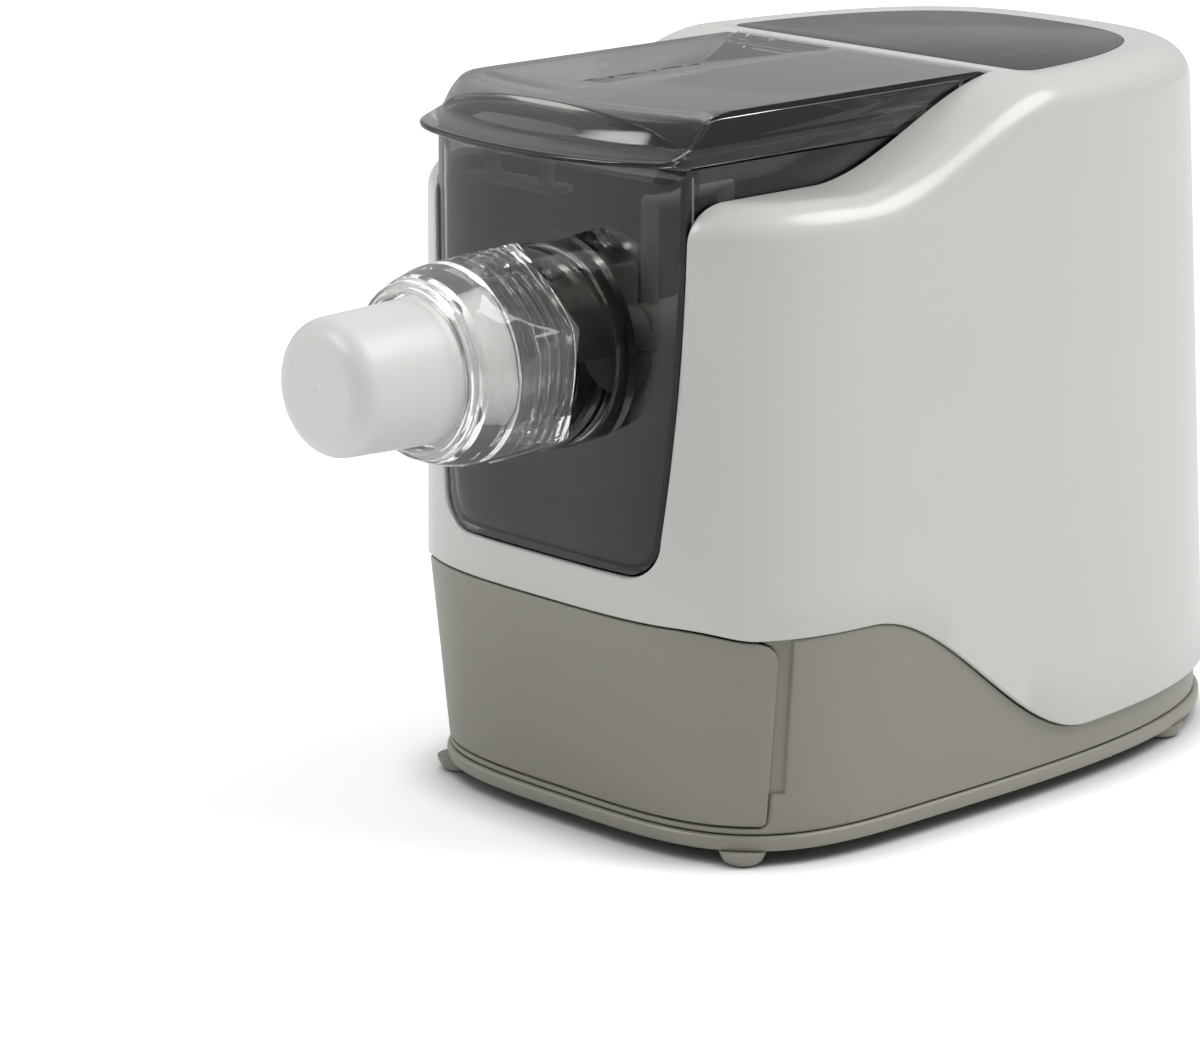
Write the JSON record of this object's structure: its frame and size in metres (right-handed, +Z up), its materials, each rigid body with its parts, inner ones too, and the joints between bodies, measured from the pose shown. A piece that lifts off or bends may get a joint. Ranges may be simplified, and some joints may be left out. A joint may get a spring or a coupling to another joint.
{
  "type": "electric pasta maker",
  "caption": "Countertop pasta extruder: white shell on a grey housing with drawer, smoked mixing chamber and lid, clear nut holding a slotted die, flush touch panel.",
  "frame": {"origin": "on the table, under the middle of the whole machine's box", "axes": "+Z up, the nozzle points along -Y, +X to the machine's left as seen by a user in front of it"},
  "size_m": [0.2092, 0.433, 0.28],
  "materials": {
    "shell": "satin white, softly glossy",
    "housing": "satin warm grey",
    "grey_rubber": "matt",
    "rubber": "matt",
    "steel": "turned",
    "panel_gloss": "gloss touch surface",
    "circuit_board": "solder mask",
    "dark_plastic": "fine grain",
    "gearbox_metal": "die-cast",
    "brass": "turned",
    "magnet": "matt dark",
    "smoked_plastic": "smoked clear plastic, polished",
    "clear_plastic": "clear plastic, polished",
    "white_plastic": "satin moulded"
  },
  "bodies": {
    "machine": {"upper_shell": "shell", "lower_housing": "housing", "base_plate": "housing", "feet": "grey_rubber", "base_screws": "steel", "control_panel": "panel_gloss", "control_board": "circuit_board", "bay_liner": "dark_plastic", "drive_seal": "rubber", "gearbox_case": "gearbox_metal", "gearbox_cover": "gearbox_metal", "gearbox_screws": "steel", "spindle_bushes": "brass", "layshaft_bushes": "brass", "motor_can": "steel", "motor_magnets": "magnet", "motor_end_cap": "dark_plastic", "motor_bushes": "brass", "motor_brushes": "magnet", "motor_screws": "steel", "motor_cradle": "dark_plastic", "power_board": "circuit_board", "power_inlet": "dark_plastic", "reed_switch": "dark_plastic", "drawer_rails": "dark_plastic"},
    "rotor": {"motor_shaft": "steel", "armature": "steel", "commutator": "brass", "motor_pinion": "brass", "cooling_fan": "dark_plastic"},
    "layshaft": {"layshaft": "steel", "reduction_gear": "white_plastic", "lay_pinion": "steel"},
    "spindle": {"output_gear": "steel", "drive_spindle": "steel"},
    "chamber": {"mixing_tub": "smoked_plastic", "front_panel": "smoked_plastic", "latch_ledge": "smoked_plastic", "extrusion_tube": "smoked_plastic", "tub_seal": "rubber"},
    "paddle": {"paddle_shaft": "steel", "mixing_paddle": "white_plastic", "auger": "white_plastic"},
    "die": {"die": "white_plastic"},
    "nut": {"clamp_nut": "clear_plastic"},
    "lid": {"lid": "smoked_plastic", "lid_magnet": "magnet", "hinge_pins": "steel"},
    "drawer": {"drawer_front": "housing", "drawer_tray": "dark_plastic"}
  },
  "joints": [
    {"name": "spindle_spin", "type": "hinge", "parent": "machine", "child": "spindle", "pos_m": [0, 0.1, 0.1875], "axis": [0, -1, 0], "continuous": true},
    {"name": "layshaft_spin", "type": "hinge", "parent": "machine", "child": "layshaft", "pos_m": [0, 0.1, 0.128], "axis": [0, -1, 0], "continuous": true},
    {"name": "rotor_spin", "type": "hinge", "parent": "machine", "child": "rotor", "pos_m": [0, 0.1, 0.0755], "axis": [0, -1, 0], "continuous": true},
    {"name": "chamber_slide", "type": "slide", "parent": "machine", "child": "chamber", "axis": [0, -1, 0], "range_m": [0, 0.15]},
    {"name": "paddle_spin", "type": "hinge", "parent": "chamber", "child": "paddle", "pos_m": [0, 0.1, 0.1875], "axis": [0, -1, 0], "continuous": true},
    {"name": "nut_turn", "type": "hinge", "parent": "die", "child": "nut", "pos_m": [0, 0.1, 0.1875], "axis": [0, -1, 0], "range_deg": [0, 1760]},
    {"name": "die_slide", "type": "slide", "parent": "chamber", "child": "die", "axis": [0, -1, 0], "range_m": [0, 0.0225]},
    {"name": "lid_hinge", "type": "hinge", "parent": "machine", "child": "lid", "pos_m": [0, 0.052, 0.272], "axis": [-1, 0, 0], "range_deg": [0, 72]},
    {"name": "drawer_slide", "type": "slide", "parent": "machine", "child": "drawer", "axis": [0, -1, 0], "range_m": [0, 0.1]}
  ],
  "couplings": [
    {"joint": "layshaft_spin", "follows": "spindle_spin", "ratio": -3.8571},
    {"joint": "rotor_spin", "follows": "spindle_spin", "ratio": 19.286},
    {"joint": "paddle_spin", "follows": "spindle_spin", "ratio": 1},
    {"joint": "die_slide", "follows": "nut_turn", "m_per_rad": 0.0007162}
  ]
}
